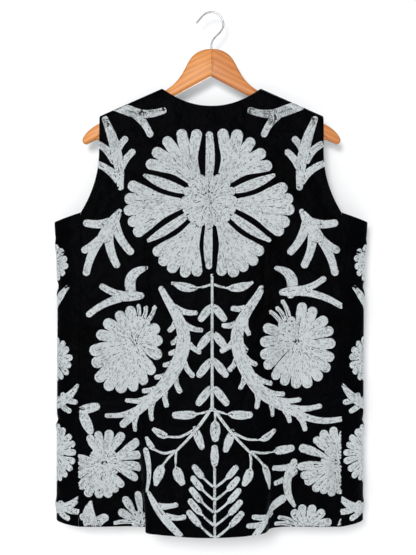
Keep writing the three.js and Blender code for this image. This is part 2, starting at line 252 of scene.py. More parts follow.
class HangingCloth(Cloth):
    # level cuts through a panel, walked out from the centre line, kept as tables over drop and across

    def __init__(self, folds, face, creases):
        self.face = face
        self.outward = -face
        self.creases = creases
        self.drops = np.arange(*clothTable["drops"])
        self.steps = np.arange(*clothTable["steps"])
        drop = self.drops[:, None]
        step = self.steps[None, :]
        heading = np.zeros((len(self.drops), len(self.steps)))
        for at, reach, turn, begins, power in folds:
            away = (step - at) / reach
            opened = np.clip((drop - begins) / (jacket["hemDrop"] - begins), 0, None) ** power
            bump = np.where(np.abs(away) < 1, np.cos(math.pi / 2 * away) ** 2, 0)
            heading += math.radians(turn) * opened * bump
        run = self.fromCentre(np.cos(heading))
        rise = self.fromCentre(np.sin(heading))
        depth = np.empty_like(run)
        self.widths = np.empty((len(self.drops), 2))
        seam = jacket["seamHalf"]
        for row in range(len(self.drops)):
            left, right = np.interp([-seam, seam], run[row], self.steps)
            riseLeft, riseRight = np.interp([left, right], self.steps, rise[row])
            tilt = (riseRight - riseLeft) / (2 * seam)
            middle = (riseRight + riseLeft) / 2
            depth[row] = depthAt(self.drops[row]) - (rise[row] - middle - tilt * run[row])
            self.widths[row] = (-left, right)
        self.tables = {"x": run, "depth": depth, "heading": heading}

    def fromCentre(self, slope):
        total = np.zeros_like(slope)
        total[:, 1:] = np.cumsum((slope[:, 1:] + slope[:, :-1]) / 2, axis=1) * (self.steps[1] - self.steps[0])
        centre = np.argmin(np.abs(self.steps))
        return total - total[:, centre:centre + 1]

    def look(self, name, across, drop):
        table = self.tables[name]
        drops, steps = self.drops, self.steps
        row = np.clip((drop - drops[0]) / (drops[1] - drops[0]), 0, len(drops) - 1.001)
        column = np.clip((across - steps[0]) / (steps[1] - steps[0]), 0, len(steps) - 1.001)
        r, c = row.astype(int), column.astype(int)
        fr, fc = row - r, column - c
        top = table[r, c] * (1 - fc) + table[r, c + 1] * fc
        bottom = table[r + 1, c] * (1 - fc) + table[r + 1, c + 1] * fc
        return top * (1 - fr) + bottom * fr

    def seamWidth(self, side, drop):
        return np.interp(drop, self.drops, self.widths[:, 0 if side < 0 else 1])

    def edge(self, side, drop):
        armhole = backArmhole(drop) if self.face < 0 else frontArmhole(drop)
        return armhole + self.seamWidth(side, drop) - jacket["seamHalf"]

    def fromHanging(self, x, drop):
        # the place across the cloth that hangs at x
        drops = self.drops
        row = int(np.clip(round((drop - drops[0]) / (drops[1] - drops[0])), 0, len(drops) - 1))
        return float(np.interp(x - leanAt(drop), self.tables["x"][row], self.steps))

    def point(self, across, drop, lift=0.0):
        across, drop = np.broadcast_arrays(np.asarray(across, float), np.asarray(drop, float))
        x = self.look("x", across, drop)
        heading = self.look("heading", across, drop)
        below = drop - shoulderLine(x)
        cosine = 1 - np.clip(below / depthSizes[0], 0, 1)
        sine = np.sqrt(1 - cosine ** 2)
        depth = self.look("depth", across, drop) * sine + jacket["seamGap"] / 2
        out = lift + creaseLift(self.creases, across, drop) * sine
        return np.stack([
            x + leanAt(drop) + np.sin(heading) * sine * out,
            self.face * (depth + np.cos(heading) * sine * out),
            -drop + cosine * out,
        ], axis=-1)


creaseDepth = 1.6          # one factor over all the creases


def creaseLift(creases, across, drop):
    # soft troughs (lift below 0) and ridges; tilt is measured from straight down
    total = np.zeros(np.shape(across))
    for at, centreDrop, length, width, tilt, lift in creases:
        c, s = math.cos(math.radians(tilt)), math.sin(math.radians(tilt))
        along = (drop - centreDrop) * c + (across - at) * s
        aside = (across - at) * c - (drop - centreDrop) * s
        total = total + creaseDepth * lift * np.exp(-(aside / width) ** 2 - (along / (length / 2)) ** 4)
    return total


# at, drop, length, width, tilt, lift
backCreases = [
    (-186, 300, 80, 9, -28, -1.6),
    (-172, 322, 70, 8, -38, 1.2),
    (-196, 340, 60, 8, -52, -1.2),
    (184, 296, 80, 9, 30, -1.6),
    (170, 318, 76, 8, 40, 1.2),
    (196, 338, 60, 8, 54, -1.2),
    (-150, 392, 90, 12, -70, -1.0),
    (152, 430, 90, 12, 72, -1.0),
    (-60, 215, 120, 12, -80, -0.7),
    (48, 236, 120, 13, 82, -0.7),
    (-66, 840, 90, 10, 12, -1.8),
    (-170, 830, 110, 12, 58, -1.6),
    (-176, 858, 90, 9, 64, 1.2),
    (60, 830, 120, 12, -6, 1.4),
    (150, 842, 90, 11, -18, -1.4),
    (176, 700, 120, 13, 78, -1.0),
    (-172, 664, 110, 12, -80, -1.0),
    (0, 690, 150, 15, 3, 1.0),
    (-40, 600, 160, 14, -8, -1.0),
    (44, 560, 160, 15, 7, -0.9),
    # the two darts at the waist
    (-110, 452, 116, 3.4, 0, -1.5),
    (91, 462, 108, 3.4, 0, -1.5),
]
frontCreases = [
    (150, 300, 90, 9, 34, -1.5),
    (172, 330, 70, 9, 50, 1.2),
    (-154, 306, 90, 9, -36, -1.4),
    (-170, 334, 70, 9, -52, 1.2),
    (90, 560, 150, 13, 8, -1.2),
    (-96, 620, 150, 13, -8, -1.1),
    (40, 760, 120, 12, -10, 1.2),
    (-44, 700, 130, 12, 12, -1.1),
    (180, 800, 110, 12, 60, -1.2),
    (-182, 780, 110, 12, -64, -1.2),
]


class SideCloth(Cloth):
    # the panel under the arm, wrapped round the jacket's edge as half an ellipse

    def __init__(self, side, creases):
        self.side = self.outward = side
        self.creases = creases
        self.reach = jacket["sideReach"] - jacket["seamGap"]
        angle = np.linspace(0, math.pi, clothTable["angles"])
        depth = depthAt(jacket["sideMiddleDrop"])
        slope = np.hypot(self.reach * np.cos(angle), depth * np.sin(angle))
        length = np.concatenate([[0], np.cumsum((slope[1:] + slope[:-1]) / 2 * np.diff(angle))])
        self.angles, self.lengths = angle, length
        self.width = float(length[-1])

    def edges(self, around):
        outward = np.sin(np.interp(around, self.lengths, self.angles))
        top = jacket["underarmDrop"] + jacket["underarmDip"] * outward
        bottom = jacket["hemDrop"] - jacket["sideHemRise"] * outward
        return top, bottom

    def point(self, around, drop, lift=0.0):
        around, drop = np.broadcast_arrays(np.asarray(around, float), np.asarray(drop, float))
        angle = np.interp(around, self.lengths, self.angles)
        depth = depthAt(drop) + jacket["seamGap"] / 2
        out = lift + creaseLift(self.creases, around, drop)
        nx, ny = np.sin(angle) * depth, -np.cos(angle) * self.reach
        size = np.hypot(nx, ny)
        reach = np.interp(drop, jacket["sideReachDrops"], [jacket["sideReachTop"], self.reach])
        away = jacket["seamHalf"] + jacket["seamGap"] + reach * np.sin(angle) + nx / size * out
        return np.stack([
            self.side * away + leanAt(drop),
            -depth * np.cos(angle) + ny / size * out,
            -drop,
        ], axis=-1)


sideCreases = [
    (24, 384, 46, 5, 82, -1.5),
    (30, 396, 44, 6, 74, 1.3),
    (22, 412, 46, 5, 88, -1.2),
    (28, 470, 60, 6, 86, -1.6),
    (30, 482, 60, 7, 84, 1.0),
    (30, 700, 60, 6, 88, -1.6),
    (60, 712, 60, 7, 84, 1.2),
    (80, 430, 60, 6, 80, -1.4),
    (78, 610, 60, 7, 96, -1.2),
    (40, 842, 70, 8, 76, 1.2),
]

backCloth = HangingCloth(backFolds, -1, backCreases)
leftFolds = [(-at, reach, -turn, begins, power) for at, reach, turn, begins, power in frontFolds]
frontCloths = {-1: HangingCloth(leftFolds, 1, frontCreases), 1: HangingCloth(frontFolds, 1, frontCreases)}
sideCloths = {-1: SideCloth(-1, sideCreases), 1: SideCloth(1, sideCreases)}
print("cloth worked out")

# shader groups that the finishes share


def newGroup(name, kind, inputs, outputs):
    group = bpy.data.node_groups.new(name, kind)
    for label, socketKind, value in inputs:
        socket = group.interface.new_socket(label, in_out="INPUT", socket_type="NodeSocket" + socketKind)
        if value is not None:
            socket.default_value = value
    for label, socketKind in outputs:
        group.interface.new_socket(label, in_out="OUTPUT", socket_type="NodeSocket" + socketKind)
    return group, group.nodes.new("NodeGroupInput").outputs, group.nodes.new("NodeGroupOutput")


def feed(tree, target, links):
    for label, socket in links.items():
        tree.links.new(socket, target.inputs[label])


def maths(tree, operation, a, b=0.0, c=0.0):
    return node(tree, "ShaderNodeMath", {"operation": operation}, {0: a, 1: b, 2: c}).outputs[0]


def noise(tree, vector, scale, detail, roughness):
    return node(tree, "ShaderNodeTexNoise", inputs={
        "Vector": vector, "Scale": scale, "Detail": detail, "Roughness": roughness}).outputs["Fac"]


def stretched(tree, vector, scale):
    return node(tree, "ShaderNodeMapping", inputs={"Vector": vector, "Scale": scale}).outputs[0]


def objectPlace(tree):
    return node(tree, "ShaderNodeTexCoord").outputs["Object"]


def blend(tree, a, b, shares):
    return maths(tree, "MULTIPLY_ADD", a, shares[0], maths(tree, "MULTIPLY", b, shares[1]))


def bumped(tree, height, strength, distance, under=None):
    made = node(tree, "ShaderNodeBump", inputs={"Strength": strength, "Distance": distance, "Height": height})
    if under:
        tree.links.new(under, made.inputs["Normal"])
    return made.outputs[0]


def twoTones(tree, value, look):
    # from the dark colour to the light one between two stops
    made = node(tree, "ShaderNodeValToRGB", inputs={"Fac": value})
    for element, stop, name in zip(made.color_ramp.elements, look["stops"], ("dark", "light")):
        element.position = stop
        element.color = (*look[name], 1)
    return made.outputs["Color"]


def weaveGroup():
    # plain weave seen from either face: ribs along the threads, with slubs and a soft mottle
    group, source, sink = newGroup("plainWeave", "ShaderNodeTree", [
        ("Vector", "Vector", (0, 0, 0)), ("Thread Gap", "Float", 0.0007), ("Mottle Size", "Float", 0.03),
    ], [("Height", "Float"), ("Mottle", "Float"), ("Slub", "Float")])
    parts = node(group, "ShaderNodeSeparateXYZ", inputs={0: source["Vector"]}).outputs
    pitch = maths(group, "DIVIDE", 2 * math.pi, source["Thread Gap"])
    warp = maths(group, "SINE", maths(group, "MULTIPLY", parts["X"], pitch))
    weft = maths(group, "SINE", maths(group, "MULTIPLY", parts["Z"], pitch))
    cross = maths(group, "MULTIPLY", warp, weft)
    slub = noise(group, stretched(group, source["Vector"], (18, 18, 420)), 1.0, 3.0, 0.6)
    mottle = noise(group, source["Vector"], maths(group, "DIVIDE", 1.0, source["Mottle Size"]), 4.0, 0.55)
    height = maths(group, "MULTIPLY_ADD", cross, 0.35, slub)
    feed(group, sink, {"Height": height, "Mottle": mottle, "Slub": slub})
    return group


def woodGrainGroup():
    # long grain that follows X, with rings warped by noise and fine pores
    group, source, sink = newGroup("woodGrain", "ShaderNodeTree", [
        ("Vector", "Vector", (0, 0, 0)), ("Ring Gap", "Float", 0.006), ("Warp", "Float", 0.5),
    ], [("Rings", "Float"), ("Pores", "Float")])
    wander = noise(group, stretched(group, source["Vector"], (7, 60, 60)), 1.0, 3.0, 0.5)
    parts = node(group, "ShaderNodeSeparateXYZ", inputs={0: source["Vector"]}).outputs
    across = maths(group, "DIVIDE", parts["Z"], source["Ring Gap"])
    warped = maths(group, "MULTIPLY_ADD", wander, maths(group, "MULTIPLY", source["Warp"], 9.0), across)
    wave = maths(group, "SINE", maths(group, "MULTIPLY", warped, 2 * math.pi))
    rings = maths(group, "MULTIPLY_ADD", wave, 0.5, 0.5)
    pores = noise(group, stretched(group, source["Vector"], (70, 1500, 1500)), 1.0, 2.0, 0.6)
    feed(group, sink, {"Rings": rings, "Pores": pores})
    return group


weave = weaveGroup()
woodGrain = woodGrainGroup()

# bumps are strength and distance; sockets are set straight on the shader
clothLook = {
    "dark": (0.0002, 0.0002, 0.0003), "light": (0.0009, 0.0011, 0.0017), "stops": (0.36, 0.82),
    "roughness": 0.44, "mottledRoughness": -0.12,
    "threadGap": 0.0009, "mottleSize": 0.045, "toneShares": (0.45, 0.75),
    "weaveBump": (0.35, 0.0003), "puckerBump": (1.0, 0.012),
    "sockets": {"Specular IOR Level": 0.013, "Sheen Weight": 0.012, "Sheen Roughness": 0.45,
                "Sheen Tint": (0.75, 0.80, 0.92, 1)},
}


def clothMaterial():
    material, tree, shader = newMaterial("blackCloth", clothLook["sockets"])
    cloth = node(tree, "ShaderNodeGroup", {"node_tree": weave}, {
        "Vector": objectPlace(tree), "Thread Gap": clothLook["threadGap"],
        "Mottle Size": clothLook["mottleSize"]}).outputs
    tone = blend(tree, cloth["Slub"], cloth["Mottle"], clothLook["toneShares"])
    colour = twoTones(tree, tone, clothLook)
    rough = maths(tree, "MULTIPLY_ADD", cloth["Mottle"], clothLook["mottledRoughness"], clothLook["roughness"])
    woven = bumped(tree, cloth["Height"], *clothLook["weaveBump"])
    puckered = bumped(tree, cloth["Mottle"], *clothLook["puckerBump"], woven)
    feed(tree, shader, {"Base Color": colour, "Roughness": rough, "Normal": puckered})
    return material


threadLook = {
    "dark": (0.30, 0.335, 0.35), "light": (0.86, 0.91, 0.925), "stops": (0.22, 0.62),
    "patchScale": 22.0, "fibreScale": 1900.0, "fibreBump": (0.5, 0.0002),
    "toneShares": (0.45, 0.75), "fibreShare": 0.25,
    "sockets": {"Roughness": 0.55, "Specular IOR Level": 0.35, "Sheen Weight": 0.12, "Sheen Roughness": 0.4},
}


def threadMaterial():
    # each stitch carries its own tone, and fine fibres run round it
    material, tree, shader = newMaterial("silverThread", threadLook["sockets"])
    tone = node(tree, "ShaderNodeAttribute", {"attribute_name": "stitchTone"}).outputs["Fac"]
    place = objectPlace(tree)
    patch = noise(tree, place, threadLook["patchScale"], 3.0, 0.55)
    fibre = noise(tree, place, threadLook["fibreScale"], 1.0, 0.5)
    mixTone = blend(tree, patch, tone, threadLook["toneShares"])
    mixTone = maths(tree, "MULTIPLY_ADD", fibre, threadLook["fibreShare"], mixTone)
    feed(tree, shader, {"Base Color": twoTones(tree, mixTone, threadLook),
                        "Normal": bumped(tree, fibre, *threadLook["fibreBump"])})
    return material


# lean is the grain's angle from level
# both arms are the same wood: the left arm's colours are painted lighter and the right arm's darker, as
# painted light and painted shade
woodLook = {
    "armLeftLit": {"dark": (0.51, 0.176, 0.040), "light": (0.67, 0.268, 0.066), "lean": 27},
    "armRightShaded": {"dark": (0.44, 0.142, 0.036), "light": (0.59, 0.222, 0.062), "lean": -27},
    "bar": {"dark": (0.46, 0.160, 0.050), "light": (0.62, 0.245, 0.082), "lean": 0},
}
woodFinish = {
    "stops": (0.25, 0.72), "toneShares": (0.38, 0.75), "ringGap": 0.0085, "warp": 0.22,
    "roughness": 0.34, "poreRoughness": 0.18, "poreBump": (0.25, 0.0002),
    "sockets": {"Specular IOR Level": 0.3, "Coat Weight": 0.08, "Coat Roughness": 0.3},
}


def woodMaterial(name):
    look = woodLook[name] | woodFinish
    material, tree, shader = newMaterial(name + "Wood", look["sockets"])
    along = node(tree, "ShaderNodeMapping", inputs={
        "Vector": objectPlace(tree), "Rotation": (0, math.radians(look["lean"]), 0)})
    grain = node(tree, "ShaderNodeGroup", {"node_tree": woodGrain}, {
        "Vector": along.outputs[0], "Ring Gap": look["ringGap"], "Warp": look["warp"]}).outputs
    colour = twoTones(tree, blend(tree, grain["Rings"], grain["Pores"], look["toneShares"]), look)
    rough = maths(tree, "MULTIPLY_ADD", grain["Pores"], look["poreRoughness"], look["roughness"])
    feed(tree, shader, {"Base Color": colour, "Roughness": rough,
                        "Normal": bumped(tree, grain["Pores"], *look["poreBump"])})
    return material


steelLook = {
    "dark": (0.33, 0.335, 0.35), "light": (0.60, 0.61, 0.63), "stops": (0.3, 0.75),
    "drawnScale": 380.0, "roughness": 0.18, "drawnRoughness": 0.25, "sockets": {"Metallic": 1.0},
}


def steelMaterial():
    material, tree, shader = newMaterial("hookSteel", steelLook["sockets"])
    drawn = noise(tree, objectPlace(tree), steelLook["drawnScale"], 3.0, 0.6)
    rough = maths(tree, "MULTIPLY_ADD", drawn, steelLook["drawnRoughness"], steelLook["roughness"])
    feed(tree, shader, {"Base Color": twoTones(tree, drawn, steelLook), "Roughness": rough})
    return material


blackCloth = clothMaterial()
silverThread = threadMaterial()
print("materials ready")

# the cloth panels

panelMesh = {
    "chestRows": 40,       # above the underarm
    "downGap": 5.0,        # between the rows below it
    "rollAngles": (0, 18, 36, 54, 72), "chestEase": 1.6,
    "chestColumns": 22, "tuckColumns": 20, "flankColumns": 19,
    "sideRows": 96, "sideColumns": 34,
    "hemRoll": 0.5, "hemRollFrom": 60,        # how far raw edges are rounded, and from what angle
}


def shellFromGrid(name, grid, outward):
    # grid of points in millimetres, rows down and columns across; outward is 1 when rows x columns face out
    rows, columns = grid.shape[:2]
    index = np.arange(rows * columns).reshape(rows, columns)
    quads = np.stack([index[:-1, :-1], index[1:, :-1], index[1:, 1:], index[:-1, 1:]], axis=-1).reshape(-1, 4)
    if outward < 0:
        quads = quads[:, ::-1]
    mesh = bpy.data.meshes.new(name)
    mesh.from_pydata((grid.reshape(-1, 3) * mm).tolist(), [], quads.tolist())
    mesh.shade_smooth()
    mesh.materials.append(blackCloth)
    piece = addObject(name, mesh)
    wall = piece.modifiers.new("wall", "SOLIDIFY")
    wall.thickness = jacket["wall"] * mm
    wall.offset = -1
    edge = piece.modifiers.new("edge", "BEVEL")
    edge.width = panelMesh["hemRoll"] * mm
    edge.segments = 2
    edge.limit_method = "ANGLE"
    edge.angle_limit = math.radians(panelMesh["hemRollFrom"])
    return piece


def dropsDown(top, bottom):
    # rows crowd together where the cloth rolls over the shoulder, and never skip the underarm
    roll = [top + depthSizes[0] * (1 - math.cos(math.radians(a))) for a in panelMesh["rollAngles"]]
    bodyRows = round((jacket["hemDrop"] - jacket["underarmDrop"]) / panelMesh["downGap"])
    chest = np.linspace(top + depthSizes[0], jacket["underarmDrop"], panelMesh["chestRows"],
                        endpoint=False)
    body = np.linspace(jacket["underarmDrop"], bottom, bodyRows + 1)
    return np.concatenate([roll, chest, body])


def columnShares(start):
    # shares across the chest up to the neck point, over the tucks, then on to the edge
    neck, folded = jacket["neckHalf"], jacket["foldedTo"]
    eased = 1 - (1 - np.linspace(0, 1, panelMesh["chestColumns"], endpoint=False)) ** panelMesh["chestEase"]
    chest = [(start + (neck - start) * s, 0.0) for s in eased]
    tuck = [(a, 0.0) for a in np.linspace(neck, folded, panelMesh["tuckColumns"], endpoint=False)]
    flank = [(folded, s) for s in np.linspace(0, 1, panelMesh["flankColumns"])]
    return chest + tuck + flank


def panelGrid(columns, topLine, hemLine, cloth):
    starts = [lerp(a, jacket["shoulderHalf"], s) for a, s, side in columns]
    drops = np.array([dropsDown(float(topLine(a)), float(hemLine(a))) for a in starts]).T
    across = np.empty_like(drops)
    for column, (a, share, side) in enumerate(columns):
        edge = cloth.edge(side, drops[:, column])
        across[:, column] = side * (a + (edge - a) * share)
    return across, drops


def cutSize(across, drops):
    # width, length and area of the flat piece
    near, far = np.s_[:-1], np.s_[1:]
    corners = [(across[r, c], drops[r, c]) for r, c in ((near, near), (far, near), (far, far), (near, far))]
    area = sum(a[0] * b[1] - b[0] * a[1] for a, b in zip(corners, corners[1:] + corners[:1])) / 2
    return float(np.ptp(across)), float(np.ptp(drops)), float(np.abs(area).sum())


def buildBack(side):
    half = columnShares(0)
    columns = [(a, s, -1) for a, s in half[:0:-1]] + [(a, s, 1) for a, s in half]
    across, drops = panelGrid(columns, backTop, backHem, backCloth)
    return shellFromGrid("backPanel", backCloth.point(across, drops), 1), cutSize(across, drops)


def buildFront(side):
    columns = [(a, s, side) for a, s in columnShares(jacket["openingHalf"])]
    cloth = frontCloths[side]
    across, drops = panelGrid(columns, frontTop, lambda x: jacket["hemDrop"] + 0 * x, cloth)
    name = "frontLeft" if side < 0 else "frontRight"
    return shellFromGrid(name, cloth.point(across, drops), -side), cutSize(across, drops)


def buildSide(side):
    cloth = sideCloths[side]
    rows, columns = panelMesh["sideRows"], panelMesh["sideColumns"]
    around = np.broadcast_to(np.linspace(0, cloth.width, columns), (rows, columns))
    top, bottom = cloth.edges(around)
    drops = lerp(top, bottom, np.linspace(0, 1, rows)[:, None])
    name = "sideLeft" if side < 0 else "sideRight"
    return shellFromGrid(name, cloth.point(around, drops), side), cutSize(around, drops)


hangerArms = ["hanger_arm_left", "hanger_arm_right"]
for build, side, nodeName, restsOn in [
        (buildBack, 0, "back_panel", hangerArms),
        (buildFront, -1, "front_left", hangerArms[:1]),
        (buildFront, 1, "front_right", hangerArms[1:]),
        (buildSide, -1, "side_panel_left", ["backPanel", "frontLeft"]),
        (buildSide, 1, "side_panel_right", ["backPanel", "frontRight"])]:
    piece, (width, length, area) = build(side)
    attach(piece, "root")
    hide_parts(nodeName)
    print(piece.name, "cut", round(width), "x", round(length), "mm,", round(area / 100), "square cm")
print("panels ready")

# the wooden hanger: smooth copies of its solids, and the hook as round wire

hanger = {
    "wireRadius": 1.7, "bendRadius": 20.6,
    "openEnd": (-25.6, -17.5),
    "bendFrom": 142, "bendTo": -38,
    "shank": [(5, -43.5), (0.6, -51), (0, -60), (0, -74), (0, -88)],
    "bendStep": -20,
    "smoothAngle": 35, "mergeWithin": 0.02, "slivers": 0.001,
}


def smoothCopy(nodeName, name, material):
    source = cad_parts[nodeName]
    mesh = bpy.data.meshes.new(name)
    work = bmesh.new()
    work.from_mesh(source.data)
    bmesh.ops.remove_doubles(work, verts=work.verts, dist=hanger["mergeWithin"] * mm)
    bmesh.ops.dissolve_degenerate(work, edges=work.edges, dist=hanger["slivers"] * mm)
    work.to_mesh(mesh)
    work.free()
    mesh.shade_smooth()
    mesh.set_sharp_from_angle(angle=math.radians(hanger["smoothAngle"]))
    mesh.materials.clear()
    mesh.materials.append(material)
    piece = addObject(name, mesh)
    piece.visible_diffuse = False        # keeps the wood's warm bounce off the wall
    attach(piece, "root")
    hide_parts(nodeName)
    return piece


def buildHook():
    bend = hanger["bendRadius"]
    path = [hanger["openEnd"]]
    for angle in range(hanger["bendFrom"], hanger["bendTo"] - 1, hanger["bendStep"]):
        a = math.radians(angle)
        path.append((bend * math.cos(a), bend * math.sin(a) - bend + hanger["wireRadius"]))
    path += hanger["shank"]
    data = bpy.data.curves.new("hangerHook", "CURVE")
    data.dimensions = "3D"
    data.bevel_depth = hanger["wireRadius"] * mm
    data.bevel_resolution = 5
    data.use_fill_caps = True
    spline = data.splines.new("BEZIER")
    spline.bezier_points.add(len(path) - 1)
    spline.resolution_u = 6
    for bezier, (x, z) in zip(spline.bezier_points, path):
        bezier.co = (x * mm, 0, z * mm)
        bezier.handle_left_type = bezier.handle_right_type = "AUTO"
    wire = addObject("hangerHookWire", data)
    mesh = bpy.data.meshes.new_from_object(wire.evaluated_get(bpy.context.evaluated_depsgraph_get()))
    bpy.data.objects.remove(wire)
    mesh.materials.clear()
    mesh.materials.append(steelMaterial())
    mesh.shade_smooth()
    hook = addObject("hangerHook", mesh)
    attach(hook, "root")
    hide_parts("hanger_hook")


# the left arm takes the lighter copy of the wood and the right arm the darker one, painted light and shade
smoothCopy("hanger_arm_left", "hangerArmLeft", woodMaterial("armLeftLit"))
smoothCopy("hanger_arm_right", "hangerArmRight", woodMaterial("armRightShaded"))
smoothCopy("hanger_bar", "hangerBar", woodMaterial("bar"))
buildHook()
print("hanger ready")

# how the embroidery fills a shape: rows of chain stitch that follow its outline, one inside the other

filling = {
    "rowGap": 2.15,          # between two rows
    "closest": 0.58,         # share of the gap under which a new row gives way to an older one
    "tight": 0.42,           # the same around a flower's eye
    "cell": 0.4,             # grid that remembers what is covered
    "step": 0.8,             # between the points of a row
    "shortest": 2.6,         # rows shorter than this are left out
    "edgeMargin": 1.0,       # kept clear along seams and hems
    "wander": 0.22,          # unevenness of the hand
    "waves": 9, "waveStart": 6,
    "linePoints": 40, "capPoints": 13,
    "middleRow": 0.6,        # share of the gap that a limb's half width needs for a row down its middle
    "seed": 11,
}
hand = random.Random(filling["seed"])


class Ground:
    # one panel laid flat, with the rows worked on it so far

    def __init__(self, left, right, top, bottom, inside):
        self.left, self.top, self.inside = left, top, inside
        cell = filling["cell"]
        shape = (int((bottom - top) / cell) + 2, int((right - left) / cell) + 2)
        self.rows = []
        self.taken, self.discs = {}, {}
        for share in (filling["closest"], filling["tight"]):
            self.taken[share] = np.zeros(shape, bool)
            reach = filling["rowGap"] * share / cell
            size = int(reach) + 1
            grid = np.mgrid[-size:size + 1, -size:size + 1].reshape(2, -1).T
            self.discs[share] = grid[np.hypot(grid[:, 0], grid[:, 1]) <= reach]

    def cells(self, points):
        rows, columns = self.taken[filling["closest"]].shape
        down = np.clip((points[:, 1] - self.top) / filling["cell"], 0, rows - 1)
        along = np.clip((points[:, 0] - self.left) / filling["cell"], 0, columns - 1)
        return np.stack([down, along], axis=1).astype(int)

    def cover(self, points):
        for share, taken in self.taken.items():
            spots = (self.cells(points)[:, None, :] + self.discs[share][None, :, :]).reshape(-1, 2)
            spots = np.clip(spots, 0, np.array(taken.shape) - 1)
            taken[spots[:, 0], spots[:, 1]] = True

    def lay(self, points, share=filling["closest"]):
        # keeps the stretches of a row that lie on the panel and on bare cloth
        if len(points) < 3:
            return
        points = evenly(points, filling["step"])
        spots = self.cells(points)
        free = self.inside(points[:, 0], points[:, 1]) & ~self.taken[share][spots[:, 0], spots[:, 1]]
        change = np.flatnonzero(np.diff(np.concatenate([[0], free.astype(int), [0]])))
        for start, stop in change.reshape(-1, 2):
            if (stop - start) * filling["step"] >= filling["shortest"]:
                run = points[start:stop]
                self.rows.append(run)
                self.cover(run)


def evenly(points, step):
    gaps = np.hypot(*np.diff(points, axis=0).T)
    along = np.concatenate([[0], np.cumsum(gaps)])
    count = max(int(along[-1] / step), 2)
    at = np.linspace(0, along[-1], count + 1)
    return np.stack([np.interp(at, along, points[:, 0]), np.interp(at, along, points[:, 1])], axis=1)


def smoothLine(knots, count):
    # a curve through the knots (x, drop, half width), eased at each knot
    knots = np.asarray(knots, float)
    if len(knots) == 2:
        return lerp(knots[0], knots[1], np.linspace(0, 1, count)[:, None])
    padded = np.vstack([2 * knots[0] - knots[1], knots, 2 * knots[-1] - knots[-2]])
    line = []
    for a, b, c, d in zip(padded, padded[1:], padded[2:], padded[3:]):
        t = np.linspace(0, 1, count // (len(knots) - 1) + 2, endpoint=False)[:, None]
        square, cube = (2 * a - 5 * b + 4 * c - d) * t ** 2, (3 * b - a - 3 * c + d) * t ** 3
        line.append(0.5 * (2 * b + (c - a) * t + square + cube))
    return np.vstack(line + [knots[-1:]])


def workLimb(ground, knots, closedStart=False, first=0.5, share=filling["closest"]):
    # fills one limb from its outline inwards, the first row that many gaps inside it
    line = smoothLine(knots, filling["linePoints"])
    centre, half = line[:, :2], line[:, 2]
    way = np.gradient(centre, axis=0)
    way /= np.maximum(np.hypot(way[:, 0], way[:, 1])[:, None], 1e-6)
    aside = np.stack([-way[:, 1], way[:, 0]], axis=1)
    gap = filling["rowGap"]
    turn = np.radians(np.linspace(90, -90, filling["capPoints"]))[1:-1, None]
    for row in range(int(half.max() / gap) + 1):
        inset = (row + first) * gap
        width = half - inset
        wide = width > 0
        if not wide.any():
            break
        along = np.linspace(0, filling["waves"], len(width))
        wave = 0.5 + 0.5 * np.sin(along + hand.uniform(0, filling["waveStart"]))
        width = width - filling["wander"] * wave
        left = centre + aside * width[:, None]
        right = centre - aside * width[:, None]
        if wide[-1]:
            cap = centre[-1] + width[-1] * (aside[-1] * np.sin(turn) + way[-1] * np.cos(turn))
            ring = np.vstack([left[wide], cap])
        else:
            ring = left[wide]
        if closedStart and wide[0]:
            cap = centre[0] + width[0] * (aside[0] * np.sin(-turn) - way[0] * np.cos(turn))
            ring = np.vstack([cap, ring])
        ground.lay(ring, share)
        ground.lay(right[wide], share)
    ground.lay(centre[half > filling["middleRow"] * gap], share)
    for end in (0, -1) if closedStart else (-1,):
        # a short row through the middle of a round end
        if half[end] > gap:
            reach = way[end] * (half[end] - gap)
            ground.lay(np.stack([centre[end] - reach, centre[end], centre[end] + reach]), filling["tight"])


def workLimbs(ground, limbs, closedStart=False):
    # each limb in turn, then a few rows more where they meet
    for knots in limbs:
        workLimb(ground, knots, closedStart)
    for knots in limbs:
        workLimb(ground, knots, first=1.0, share=filling["tight"])


def bowed(start, end, halves, bow=0.0, shares=(0, 0.25, 0.5, 0.75, 1)):
    # knots of a limb that bows to one side, with its half width at the root, the belly and the tip
    start, end = np.array(start, float), np.array(end, float)
    way = end - start
    aside = np.array([-way[1], way[0]]) / math.hypot(*way)
    root, belly, tip = halves
    knots = []
    for t in shares:
        spot = lerp(start, end, t) + aside * bow * 4 * t * (1 - t)
        half = root * (1 - t) * (1 - 2 * t) + belly * 4 * t * (1 - t) + tip * t * (2 * t - 1)
        knots.append((*spot, half))
    return knots


bloom = {
    "fullness": 0.74,      # how much of its share of the rim a petal's tip takes up
    "petalHalf": 7.2,
    "slimHalves": (4.0, 3.8, 3.4),
    "heart": 4,            # where the petals start, from the eye
    "rootHalf": 1.2,
    "heartRings": (5, 3, 1.2), "heartRays": 64, "heartReach": 0.4,
    # how a petal strays: share of its step, degrees, bow, and the shares its reach and width vary by
    "stray": 0.09, "turn": 2, "bow": 2,
    "reaches": (0.96, 1.03), "fanReaches": (0.97, 1.03), "slimReaches": (0.9, 1.05), "widths": (0.94, 1.06),
}


def petal(start, tip, startHalf, tipHalf, bow=0.0):
    # a petal whose round tip just reaches the point given, widest a little before it
    way = np.subtract(tip, start)
    end = np.asarray(tip) - way / math.hypot(*way) * tipHalf
    knots = bowed(start, end, (1, 1, 1), bow, (0, 0.45, 0.78, 1))
    widths = (startHalf, tipHalf * 0.64, tipHalf * 1.02, tipHalf)
    return [(x, drop, width) for (x, drop, one), width in zip(knots, widths)]


